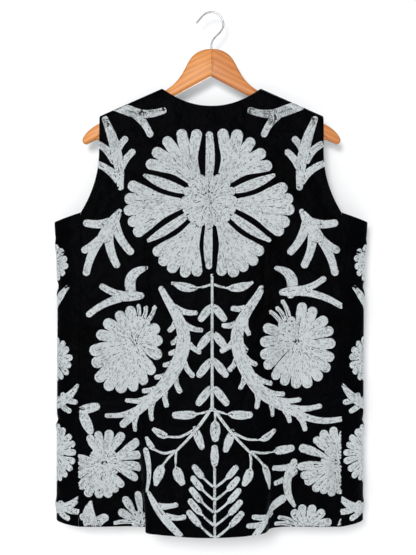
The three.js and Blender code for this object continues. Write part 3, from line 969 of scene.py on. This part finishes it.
def workFlower(ground, place, flower):
    # petals evenly round an oval, or in fans from the eye; 0 degrees is across and 90 is down
    eye = np.array(place(*flower["eye"]))

    def fromEye(angle, reach):
        a = math.radians(angle)
        return eye + reach * np.array([math.cos(a), math.sin(a)])

    petals = []
    if "oval" in flower:
        middle = np.array(place(*flower["oval"]))
        reachAcross, reachDown = flower["reach"]
        first, span = flower["spread"]
        tilt = math.radians(flower.get("tilt", 0))
        count = flower["petals"]
        step = span / (count if abs(span) >= 360 else count - 1)
        half = abs(math.radians(step)) * (reachAcross + reachDown) / 4 * bloom["fullness"]
        for index in range(count):
            stray = hand.uniform(-bloom["stray"], bloom["stray"])
            angle = math.radians(first + (index + stray) * step)
            stretch = hand.uniform(*bloom["reaches"])
            x, y = reachAcross * math.cos(angle), reachDown * math.sin(angle)
            turned = (x * math.cos(tilt) - y * math.sin(tilt), x * math.sin(tilt) + y * math.cos(tilt))
            petals.append((middle + np.array(turned) * stretch, half * hand.uniform(*bloom["widths"])))
    for first, last, count, reach, lastReach in flower.get("fans", []):
        for share in np.linspace(0, 1, count):
            angle = lerp(first, last, share) + hand.uniform(-bloom["turn"], bloom["turn"])
            tip = fromEye(angle, lerp(reach, lastReach, share) * hand.uniform(*bloom["fanReaches"]))
            petals.append((tip, bloom["petalHalf"] * hand.uniform(*bloom["widths"])))
    limbs = []
    for tip, half in petals:
        way = (tip - eye) / math.hypot(*(tip - eye))
        bow = hand.uniform(-bloom["bow"], bloom["bow"])
        limbs.append(petal(eye + way * bloom["heart"], tip, bloom["rootHalf"], half, bow))
    workLimbs(ground, limbs)
    for first, last, count, begins, reach in flower.get("slim", []):
        for angle in np.linspace(first, last, count):
            ends = reach * hand.uniform(*bloom["slimReaches"])
            knots = bowed(fromEye(angle, begins), fromEye(angle, ends), bloom["slimHalves"], bloom["bow"])
            workLimb(ground, knots)
    workHeart(ground, eye, bloom["heartReach"] * np.mean([math.hypot(*(tip - eye)) for tip, half in petals]))


def workHeart(ground, eye, reach):
    # short rows that fill what the petals leave bare around the eye
    turn = np.linspace(0, 2 * math.pi, 20)
    for radius in bloom["heartRings"]:
        ground.lay(eye + radius * np.stack([np.cos(turn), np.sin(turn)], axis=1))
    for ray in range(bloom["heartRays"]):
        a = ray * math.tau / bloom["heartRays"]
        way = np.array([math.cos(a), math.sin(a)])
        spots = [eye + way * bloom["heart"], eye + way * reach * 0.5, eye + way * reach]
        ground.lay(np.stack(spots), filling["tight"])


def workRosette(ground, place, rosette, scale=1.0):
    centre = np.array(place(*rosette["centre"]))

    def at(angle, radius):
        a = math.radians(angle)
        return centre + scale * radius * np.array([math.sin(a), -math.cos(a)])

    core = rosette["core"]
    for index in range(rosette["corePetals"]):
        angle = 360 * index / rosette["corePetals"]
        start = at(angle, rosette["coreStart"])
        workLimb(ground, petal(start, at(angle, core), rosette["coreRoot"], rosette["coreHalf"] * scale))
    workHeart(ground, centre, core * scale * rosette["heartShare"])
    for side in (-1, 1):
        for first, last, gather, length, widest in rosette["fans"]:
            limbs = []
            middle = (first + last) / 2
            for finger in range(rosette["fingers"]):
                share = finger / (rosette["fingers"] - 1)
                angle = lerp(first, last, share) + hand.uniform(-rosette["fingerTurn"], rosette["fingerTurn"])
                arch = 1 - rosette["archDrop"] * (2 * share - 1) ** 2
                reach = length * arch * (1 + side * rosette["lopsided"] * math.sin(math.radians(angle)))
                reach *= hand.uniform(*rosette["fingerLengths"])
                start = at(side * (middle + (angle - middle) * gather), core - rosette["fingersInside"])
                bow = -side * (angle - middle) * rosette["sweep"] * scale
                width = widest * scale * hand.uniform(*rosette["fingerWidths"])
                limbs.append(petal(start, at(side * angle, reach), rosette["fingerRoot"] * scale, width, bow))
            workLimbs(ground, limbs)
    for angle, root, widest, tip, length in rosette["leaves"]:
        for side in (-1, 1) if angle % 180 else (1,):
            halves = (root * scale, widest * scale, tip * scale)
            end = at(side * angle, length - tip)
            start = at(side * angle, core - rosette["leavesInside"])
            workLimb(ground, bowed(start, end, halves, side * rosette["leafBow"]))


sprigRule = {
    "armHalves": (0.92, 0.74, 0.62),      # root, belly and tip, against the main limb
    "armBow": 0.07,        # against the arm's length
    "stalkHalf": 2.1,
    # a feather's finger: bow against its length, root against the trunk, and how far it strays
    "fingerBow": 0.1, "fingerRoot": 0.9, "fingerTurn": 4, "fingerLengths": (0.93, 1.07),
    "fingerTips": (0.66, 0.86), "trunkPoints": 60,
}


def reachOut(heading, reach):
    # that far on a heading: 0 is straight up and 90 is straight out from the centre line
    a = math.radians(heading)
    return reach * np.array([math.sin(a), -math.cos(a)])


def workSprig(ground, place, sprig, side):
    # a main limb that bows, arms that turn off it, and buds on stalks
    foot = np.array(sprig["foot"], float)

    def there(spot):
        return place(side * spot[0], spot[1])

    if "heading" in sprig:
        way = reachOut(sprig["heading"], sprig["length"])
        half = sprig["half"]
        root, tip = sprig.get("taper", (0.8, 0.7))
        halves = (half * root, half, half * tip)
        limbs = [bowed(there(foot), there(foot + way), halves, side * sprig.get("bow", 0))]
        for share, turn, reach in sprig.get("arms", []):
            start = foot + way * share
            end = start + reachOut(sprig["heading"] + turn, reach)
            bow = -side * math.copysign(reach * sprigRule["armBow"], turn)
            halves = [half * part for part in sprigRule["armHalves"]]
            limbs.append(bowed(there(start), there(end), halves, bow))
        workLimbs(ground, limbs, closedStart=True)
    for share, heading, reach, stalk, half, tip, bow in sprig.get("buds", []):
        start = foot + (way * share if "heading" in sprig else np.array([0, share]))
        workBud(ground, there(start), there(start + reachOut(heading, reach)), stalk, half, tip, side * bow)


def workBud(ground, start, end, stalk, half, tip, bow):
    # a thin stalk over the first share of the way, then the bud
    thin = sprigRule["stalkHalf"]
    shares = [stalk + (1 - stalk) * t for t in (0, 0.22, 0.6, 1)]
    widths = [thin if stalk else half * 0.5, half * 0.84, half, tip]
    if stalk:
        shares = [0, stalk * 0.5, *shares]
        widths = [thin, thin, *widths]
    knots = bowed(start, end, (1, 1, 1), bow, shares)
    workLimb(ground, [(x, drop, width) for (x, drop, one), width in zip(knots, widths)], closedStart=True)


def workFeather(ground, place, feather, side):
    # a curved trunk with fingers at even shares of it on both sides; turns are from the trunk
    trunk = [(*place(side * x, drop), half) for x, drop, half in feather["trunk"]]
    workLimb(ground, trunk, closedStart=True)
    line = smoothLine(trunk, sprigRule["trunkPoints"])
    way = np.gradient(line[:, :2], axis=0)
    limbs = []
    for turnSide, name in ((1, "inner"), (-1, "outer")):
        count, shares, turns, lengths, growth = feather[name]
        for index in range(count):
            t = index / (count - 1)
            spot = int(lerp(*shares, t) * (len(line) - 1))
            turn = lerp(*turns, t) + hand.uniform(-sprigRule["fingerTurn"], sprigRule["fingerTurn"])
            length = lerp(*lengths, t ** growth) * hand.uniform(*sprigRule["fingerLengths"])
            heading = math.atan2(way[spot, 1], way[spot, 0]) + side * turnSide * math.radians(turn)
            start = line[spot, :2]
            end = start + length * np.array([math.cos(heading), math.sin(heading)])
            half = feather["finger"]
            tip = half * hand.uniform(*sprigRule["fingerTips"])
            halves = (line[spot, 2] * sprigRule["fingerRoot"], half, tip)
            limbs.append(bowed(start, end, halves, -side * turnSide * length * sprigRule["fingerBow"]))
    workLimbs(ground, limbs)


# the sprigs, for the half where x grows outwards; sides says on which they are worked and how far shifted
# out. foot is x, drop; heading is 0 straight up and 90 straight out; taper is the root and tip against the
# half width; arms are share along, turn, length; buds are share along (or drop below the foot where there
# is no main limb), heading, length, share that is stalk, half width, tip's half width, bow

sprigs = {
    "shoulder": {
        "sides": [(-1, 0), (1, -15)], "foot": (170, 160), "heading": -110, "length": 50, "half": 9,
        "taper": (1, 1),
        "arms": [(0.85, 25, 48), (0.75, -32, 48)]},
    "armhole": {
        "sides": [(-1, 0), (1, -5)], "foot": (155, 302), "heading": 13, "length": 120, "half": 9, "bow": -6,
        "taper": (0.6, 0.6),
        "arms": [(0.4, 32, 38), (0.1, 40, 48), (0.42, -42, 38), (0.18, -45, 46)]},
    "side": {
        "sides": [(-1, 0), (1, -3)], "foot": (157, 344), "heading": 148, "length": 50, "half": 10,
        "taper": (0.5, 1),
        "arms": [(0.4, -55, 45), (0.6, -15, 58), (0.65, 5, 85), (0.7, 45, 62), (0.35, 60, 60)]},
    "curlLeft": {
        "sides": [(-1, 0)], "foot": (120, 487), "heading": 92, "length": 32, "half": 8.4, "taper": (0.7, 1),
        "arms": [(0.5, -20, 52), (0.6, 22, 75)]},
    "curlRight": {
        "sides": [(1, 0)], "foot": (120, 481), "heading": 85, "length": 32, "half": 8, "taper": (0.7, 1),
        "arms": [(0.6, -17, 55), (0.6, 22, 84)]},
    "curlTip": {
        "sides": [(-1, 0), (1, -1)], "foot": (135, 484), "heading": -28, "length": 50, "half": 9, "bow": 14,
        "taper": (0.85, 0.4)},
    "stem": {
        "sides": [(1, 0)], "foot": (1, 452), "heading": 180, "length": 223, "half": 2.4, "taper": (1, 1.2)},
    "topLeaf": {"sides": [(-1, 0), (1, 3)], "foot": (-1, 467), "buds": [(0, 88, 68, 0.36, 7.2, 1.8, 8)]},
    "lowLeaf": {"sides": [(-1, 0), (1, 3)], "foot": (-1, 677), "buds": [(0, 98, 62, 0.42, 7.2, 5.6, 3)]},
    "middleLeaf": {"sides": [(1, 0)], "foot": (6, 676), "buds": [(0, 180, 47, 0.38, 8.4, 6, 0)]},
    "branchRight": {
        "sides": [(1, 0)], "foot": (4, 675), "heading": 140, "length": 95, "half": 2.5, "bow": 3,
        "taper": (1, 0.85),
        "buds": [(0.55, 90, 68, 0.6, 6, 4.2, 12), (0.5, 200, 32, 0, 7, 5, 0), (0.97, 90, 72, 0.6, 7.2, 6, 4),
                 (0.97, 190, 52, 0.5, 7.6, 4.4, -6), (0.97, 152, 72, 0.4, 7, 2.2, -8)]},
    "branchLeft": {
        "sides": [(-1, 0)], "foot": (1, 675), "heading": 140, "length": 92, "half": 2.6, "bow": 3,
        "taper": (1.1, 0.8),
        "buds": [(0.5, 90, 65, 0.65, 6.2, 3.8, 12), (0.45, 200, 32, 0, 7, 5, 0),
                 (0.97, 70, 53, 0.65, 5, 3.4, 13), (0.97, 148, 64, 0.5, 8.4, 4, -6),
                 (0.97, 190, 52, 0.5, 8.6, 5.4, -5)]},
    "seamLeafUpper": {
        "sides": [(-1, 0)], "foot": (221, 681), "heading": -77, "length": 26, "half": 8, "taper": (0.8, 0.8)},
    "seamLeafLower": {
        "sides": [(-1, 0)], "foot": (220, 684), "heading": 204, "length": 35, "half": 9, "taper": (0.7, 0.7)},
    "hemSprayLeft": {
        "sides": [(-1, 0)], "foot": (104, 814), "heading": -142, "length": 84, "half": 6.2, "bow": -4,
        "taper": (0.6, 0.85), "arms": [(0.3, 57, 30), (0.55, 52, 30)]},
    "hemStalk": {
        "sides": [(-1, 0)], "foot": (110, 746), "heading": 182, "length": 65, "half": 4.2, "bow": 5,
        "taper": (1.4, 0.6)},
    "hemSprayRight": {
        "sides": [(1, 0)], "foot": (120, 831), "heading": -137, "length": 80, "half": 6.6, "bow": 4,
        "taper": (1.05, 0.7), "arms": [(0.38, 50, 29), (0.52, 40, 31)]},
    "hemDroop": {
        "sides": [(1, 0)], "foot": (140, 769), "heading": 180, "length": 74, "half": 7, "bow": 12,
        "taper": (0.8, 0.45), "arms": [(0.08, 86, 35), (0.22, 60, 36)]},
    "hemCorner": {
        "sides": [(-1, 0)], "foot": (200, 884), "heading": 5, "length": 48, "half": 11, "bow": 5,
        "taper": (1.1, 0.25), "arms": [(0.1, -55, 26), (0.1, 38, 24)]},
    "hemLeaf": {
        "sides": [(1, 0)], "foot": (217, 879), "heading": 11, "length": 15, "half": 4, "taper": (1.1, 0.35)},
}


def stemLeaves(top=504, pitch=45, pairs=4):
    # pairs of leaves down the stem, a little longer each time
    buds = [(pitch * pair, 142, 27 + 2 * pair, 0, 7, 5.6, 0) for pair in range(pairs)]
    return {"sides": [(-1, 0), (1, 3)], "foot": (1, top), "buds": buds}


def fernSprig(side, heading, top=769, pitch=20.5, pairs=5):
    # the buds on thin stalks up one side of the stem that grows from the hem
    buds = [(34 + pitch * pair, heading, 47 + 3 * pair, 0.5, 5.6, 4.8, 2 * side) for pair in range(pairs)]
    return {"sides": [(1, 0)], "foot": (5, top), "buds": buds}


sprigs["stemLeaves"] = stemLeaves()
sprigs["fernLeft"] = fernSprig(-1, -45)
sprigs["fernRight"] = fernSprig(1, 48)
sprigs["fernStem"] = {
    "sides": [(1, 0)], "foot": (5, 769), "heading": 180, "length": 115, "half": 2.3, "taper": (1, 1),
    "buds": [(0, 0, 30, 0, 6.8, 5.4, 0)]}

# trunk as x, drop, half width; fingers as count, shares of the trunk, turns, lengths, how the lengths grow
feathers = {
    "left": {
        "side": -1, "finger": 5.4, "trunk": [(85, 475, 5), (47, 555, 11), (76, 632, 11), (150, 705, 6)],
        "inner": (8, (0.11, 0.88), (40, 32), (44, 38), 1), "outer": (8, (0.2, 0.84), (58, 24), (27, 74), 3)},
    "right": {
        "side": 1, "finger": 5.6, "trunk": [(85, 475, 6), (43, 555, 10.5), (78, 642, 10.5), (155, 692, 7)],
        "inner": (9, (0.13, 0.95), (48, 28), (31, 37), 1), "outer": (8, (0.19, 0.95), (42, 20), (33, 76), 1)},
}

# eye and oval are x, drop; angles are 0 across and 90 down; spread is the first petal's angle and the whole
# turn; fans are first angle, last angle, petals, first reach, last reach; slim are petals that stand free:
# first angle, last angle, petals, where they begin, where they end
flowers = {
    "midLeft": {
        "eye": (-130, 566), "oval": (-144, 580), "reach": (60, 77), "tilt": 20,
        "petals": 15, "spread": (-110, -300),
        "fans": [(-97, -60, 3, 45, 45)], "slim": [(-84, -60, 3, 38, 68)]},
    "midRight": {
        "eye": (145, 565), "oval": (145, 572), "reach": (66, 75), "tilt": -15,
        "petals": 16, "spread": (-65, 285),
        "fans": [(-130, -105, 2, 45, 45)], "slim": [(-132, -110, 3, 40, 72)]},
    "lowLeft": {
        "eye": (-182, 770), "fans": [(-117, -54, 4, 52, 62), (-32, 26, 4, 74, 60), (60, 122, 5, 50, 68),
                                     (138, 188, 4, 66, 57)]},
    "lowRight": {
        "eye": (212, 769), "fans": [(225, 282, 4, 58, 60), (200, 200, 1, 71, 71), (174, 66, 8, 65, 54)]},
    "hemLeft": {
        "eye": (-119, 872), "fans": [(208, 275, 3, 42, 53), (320, 320, 1, 26, 26)],
        "slim": [(180, 180, 1, 5, 46)]},
    "hemRight": {
        "eye": (158, 880), "fans": [(231, 345, 5, 38, 45)], "slim": [(189, 202, 2, 5, 51)]},
}

# the big flower: a core of petals, six fans of fingers, and six long leaves between them;
# angles are from straight up, lengths from the centre
rosette = {
    "centre": (-4, 325),
    "core": 48, "corePetals": 16, "coreHalf": 7.6,
    "fingers": 5, "fingerRoot": 3.6, "lopsided": -0.01, "archDrop": 0.055,
    # first and last finger, how far the roots draw together, length, half width
    "fans": [(11, 59, 0.42, 133, 9.6), (79.5, 114, 0.22, 146, 9.6), (134, 170.5, 0.34, 138, 9.2)],
    "sweep": 0.26,         # how much the outer fingers curve away from the middle one
    "coreStart": 5, "coreRoot": 1.1, "heartShare": 0.7,
    "fingersInside": 8, "leavesInside": 4,      # where they start, in from the core's edge
    "fingerTurn": 0.8, "fingerLengths": (0.985, 1.015), "fingerWidths": (0.94, 1.05), "leafBow": 1.5,
    # angle, half width at the root, belly and tip, length
    "leaves": [(0, 6.8, 7.8, 6.0, 119), (68.5, 5.0, 8.8, 3.4, 121), (123.5, 5.0, 8.0, 3.6, 126),
               (180, 6.0, 7.6, 5.4, 117)],
}

# on the panels under the arms, where x is the distance round from the back seam
sideFlowers = [
    {"eye": (52, 430), "oval": (52, 430), "reach": (32, 33), "petals": 13, "spread": (0, 360)},
    {"eye": (51, 596), "oval": (51, 596), "reach": (39, 39), "petals": 16, "spread": (8, 360)},
    {"eye": (50, 758), "oval": (50, 756), "reach": (46, 51), "petals": 20, "spread": (4, 360)},
]
sideSprigs = [
    {"foot": (24, 474), "heading": 140, "length": 42, "half": 6.6, "taper": (0.75, 0.9)},
    {"foot": (2, 638), "heading": 127, "length": 62, "half": 7.4, "bow": 6, "taper": (0.4, 1.1),
     "arms": [(0.55, 122, 24), (0.75, 106, 27), (0.97, -74, 46)]},
    {"foot": (0, 830), "heading": 112, "length": 56, "half": 8, "bow": 6, "taper": (0.5, 1.1),
     "arms": [(0.6, 139, 31), (0.8, 120, 28), (0.97, -63, 47)]},
]


clothReach = (-275, 275, 120, 895)       # left, right, top and bottom of the laid-out back or front
sideGround = (10, 335, 890)              # beyond the edges, top and bottom
frontRosette = {"centre": (0, 418), "lopsided": 0, "scale": 0.72}


def shifted(sprig, out):
    return dict(sprig, foot=(sprig["foot"][0] + out, sprig["foot"][1]))


def workBack():
    margin = filling["edgeMargin"]

    def inside(across, drop):
        side = np.sign(across)
        edge = np.where(side < 0, backCloth.edge(-1, drop), backCloth.edge(1, drop))
        return ((drop > backTop(across) + 2 * margin) & (drop < backHem(across) - margin)
                & (np.abs(across) < edge - margin))

    def place(x, drop):
        return backCloth.fromHanging(x, drop), drop

    ground = Ground(*clothReach, inside)
    workRosette(ground, place, rosette)
    for flower in flowers.values():
        workFlower(ground, place, flower)
    for feather in feathers.values():
        workFeather(ground, place, feather, feather["side"])
    for sprig in sprigs.values():
        for side, out in sprig["sides"]:
            workSprig(ground, place, shifted(sprig, out), side)
    return ground.rows


def workFront(side):
    # the fronts carry the same motifs, with a smaller flower split by the opening
    cloth = frontCloths[side]
    margin = filling["edgeMargin"]
    handName = "Left" if side < 0 else "Right"

    def inside(across, drop):
        return ((drop > frontTop(across) + 2 * margin) & (drop < jacket["hemDrop"] - margin)
                & (np.abs(across) < cloth.edge(side, drop) - margin)
                & (side * across > jacket["openingHalf"] + margin))

    def place(x, drop):
        return cloth.fromHanging(x, drop), drop

    ground = Ground(*clothReach, inside)
    workRosette(ground, place, rosette | frontRosette, frontRosette["scale"])
    for name, flower in flowers.items():
        if name.endswith(handName):
            workFlower(ground, place, flower)
    for feather in feathers.values():
        if feather["side"] == side:
            workFeather(ground, place, feather, side)
    for name, sprig in sprigs.items():
        for where, out in sprig["sides"]:
            if where == side or name.startswith("fern"):
                workSprig(ground, place, shifted(sprig, out), where)
    return ground.rows


def workSide(side):
    cloth = sideCloths[side]
    margin = filling["edgeMargin"]

    def inside(around, drop):
        top, bottom = cloth.edges(around)
        return ((around > margin) & (around < cloth.width - margin)
                & (drop > top + margin) & (drop < bottom - margin))

    def place(around, drop):
        return around, drop

    beyond, highest, lowest = sideGround
    ground = Ground(-beyond, cloth.width + beyond, highest, lowest, inside)
    for flower in sideFlowers:
        workFlower(ground, place, flower)
    for sprig in sideSprigs:
        workSprig(ground, place, sprig, 1)
    return ground.rows


# chain stitches, set along the rows by Geometry Nodes

stitch = {
    "pitch": 3.3,           # from one stitch to the next
    "length": 5.0,
    "width": 2.4,
    "height": 0.85,
    "lift": 0.25,           # of a stitch's underside above the cloth
    "uneven": 0.12,
    "slide": 0.9,           # how far a stitch may sit from its place along the row
    "seed": 4,
}


def stitchLink():
    # one loop of thread: six points on the cloth and two along its back
    half, side, top = stitch["length"] / 2, stitch["width"] / 2, stitch["height"]
    shoulder, narrow, ridge, dip = 0.6, 0.85, 0.45, 0.8      # shares of the half length, width and height
    rim = [(-half, 0.0), (-half * shoulder, -side * narrow), (half * shoulder, -side), (half, 0.0),
           (half * shoulder, side), (-half * shoulder, side * narrow)]
    verts = [(x * mm, y * mm, 0) for x, y in rim]
    verts += [(-half * ridge * mm, 0, top * dip * mm), (half * ridge * mm, 0, top * mm)]
    faces = [(0, 1, 6), (1, 2, 7, 6), (2, 3, 7), (3, 4, 7), (4, 5, 6, 7), (5, 0, 6), (5, 4, 3, 2, 1, 0)]
    mesh = bpy.data.meshes.new("stitchLink")
    mesh.from_pydata(verts, [], faces)
    mesh.shade_smooth()
    return addObject("stitchLink", mesh)


def stitchTree():
    # inputs: the rows as edges carrying the cloth's normal, the link, and the sizes
    tree, source, sink = newGroup("chainStitch", "GeometryNodeTree", [
        ("Geometry", "Geometry", None), ("Link", "Object", None), ("Pitch", "Float", 0.0036),
        ("Uneven", "Float", 0.1), ("Slide", "Float", 0.001), ("Thread", "Material", None), ("Seed", "Int", 1),
    ], [("Geometry", "Geometry")])
    rows = node(tree, "GeometryNodeMeshToCurve", inputs={"Mesh": source["Geometry"]})
    points = node(tree, "GeometryNodeCurveToPoints", {"mode": "LENGTH"}, {
        "Curve": rows.outputs[0], "Length": source["Pitch"]})
    outward = node(tree, "GeometryNodeInputNamedAttribute", {"data_type": "FLOAT_VECTOR"}, {
        "Name": "clothNormal"})
    along = node(tree, "FunctionNodeAlignRotationToVector", {"axis": "X"}, {
        "Vector": points.outputs["Tangent"]})
    upright = node(tree, "FunctionNodeAlignRotationToVector", {"axis": "Z", "pivot_axis": "X"}, {
        "Rotation": along.outputs[0], "Vector": outward.outputs[0]})
    jitter = node(tree, "FunctionNodeRandomValue", {"data_type": "FLOAT_VECTOR"}, {
        "Min": maths(tree, "SUBTRACT", 1.0, source["Uneven"]),
        "Max": maths(tree, "ADD", 1.0, source["Uneven"]),
        "Seed": source["Seed"]})
    chance = node(tree, "FunctionNodeRandomValue", {"data_type": "FLOAT"}, {"Seed": source["Seed"]})
    offset = node(tree, "ShaderNodeVectorMath", {"operation": "SCALE"}, {
        0: points.outputs["Tangent"], "Scale": maths(tree, "MULTIPLY", chance.outputs[1], source["Slide"])})
    moved = node(tree, "GeometryNodeSetPosition", inputs={
        "Geometry": points.outputs["Points"], "Offset": offset.outputs[0]})
    info = node(tree, "GeometryNodeObjectInfo", inputs={"Object": source["Link"]})
    placed = node(tree, "GeometryNodeInstanceOnPoints", inputs={
        "Points": moved.outputs[0], "Instance": info.outputs["Geometry"],
        "Rotation": upright.outputs[0], "Scale": jitter.outputs[0]})
    shade = node(tree, "FunctionNodeRandomValue", {"data_type": "FLOAT"}, {"Seed": source["Seed"]})
    toned = node(tree, "GeometryNodeStoreNamedAttribute", {"data_type": "FLOAT", "domain": "INSTANCE"}, {
        "Geometry": placed.outputs[0], "Name": "stitchTone", "Value": shade.outputs[1]})
    solid = node(tree, "GeometryNodeRealizeInstances", inputs={"Geometry": toned.outputs[0]})
    dressed = node(tree, "GeometryNodeSetMaterial", inputs={
        "Geometry": solid.outputs[0], "Material": source["Thread"]})
    tree.links.new(dressed.outputs[0], sink.inputs["Geometry"])
    return tree


stitchShape = stitchLink()
chainStitch = stitchTree()


def setInputs(modifier, values):
    for item in modifier.node_group.interface.items_tree:
        if item.item_type == "SOCKET" and item.in_out == "INPUT" and item.name in values:
            modifier[item.identifier] = values[item.name]


def sewRows(name, cloth, rows):
    # rows as edges on the cloth, then stitches along them
    late = [hand.randrange(int(stitch["pitch"] / filling["step"])) for row in rows]
    rows = [row[skip:] for row, skip in zip(rows, late)]
    points = np.vstack([cloth.point(row[:, 0], row[:, 1], stitch["lift"]) for row in rows]) * mm
    normals = np.vstack([cloth.normal(row[:, 0], row[:, 1]) for row in rows])
    edges = []
    start = 0
    for row in rows:
        edges += [(i, i + 1) for i in range(start, start + len(row) - 1)]
        start += len(row)
    mesh = bpy.data.meshes.new(name + "Rows")
    mesh.from_pydata(points.tolist(), edges, [])
    attribute = mesh.attributes.new("clothNormal", "FLOAT_VECTOR", "POINT")
    attribute.data.foreach_set("vector", normals.astype(np.float32).ravel())
    guide = addObject(name + "Rows", mesh)
    modifier = guide.modifiers.new("stitches", "NODES")
    modifier.node_group = chainStitch
    setInputs(modifier, {
        "Link": stitchShape, "Pitch": stitch["pitch"] * mm, "Uneven": stitch["uneven"],
        "Slide": stitch["slide"] * mm, "Thread": silverThread, "Seed": stitch["seed"]})
    sewn = bpy.data.meshes.new_from_object(guide.evaluated_get(bpy.context.evaluated_depsgraph_get()))
    sewn.name = name
    bpy.data.objects.remove(guide)
    piece = addObject(name, sewn)
    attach(piece, "root")
    triangles = sum(len(p.vertices) - 2 for p in sewn.polygons)
    print(name, len(rows), "rows,", triangles, "triangles")


def splitByDrop(rows, shares):
    # groups of rows from the top down, so that no piece grows too heavy
    ordered = sorted(rows, key=lambda row: float(row[:, 1].mean()))
    sizes = np.cumsum([len(row) for row in ordered])
    cut = np.searchsorted(sizes, [sizes[-1] * s / shares for s in range(1, shares)])
    return [ordered[a:b] for a, b in zip([0, *cut], [*cut, len(ordered)])]


for index, rows in enumerate(splitByDrop(workBack(), 3)):
    sewRows(f"stitchesBack{index + 1}", backCloth, rows)
for side, label in ((-1, "Left"), (1, "Right")):
    sewRows("stitchesFront" + label, frontCloths[side], workFront(side))
    sewRows("stitchesSide" + label, sideCloths[side], workSide(side))
bpy.data.objects.remove(stitchShape)
print("embroidery ready")
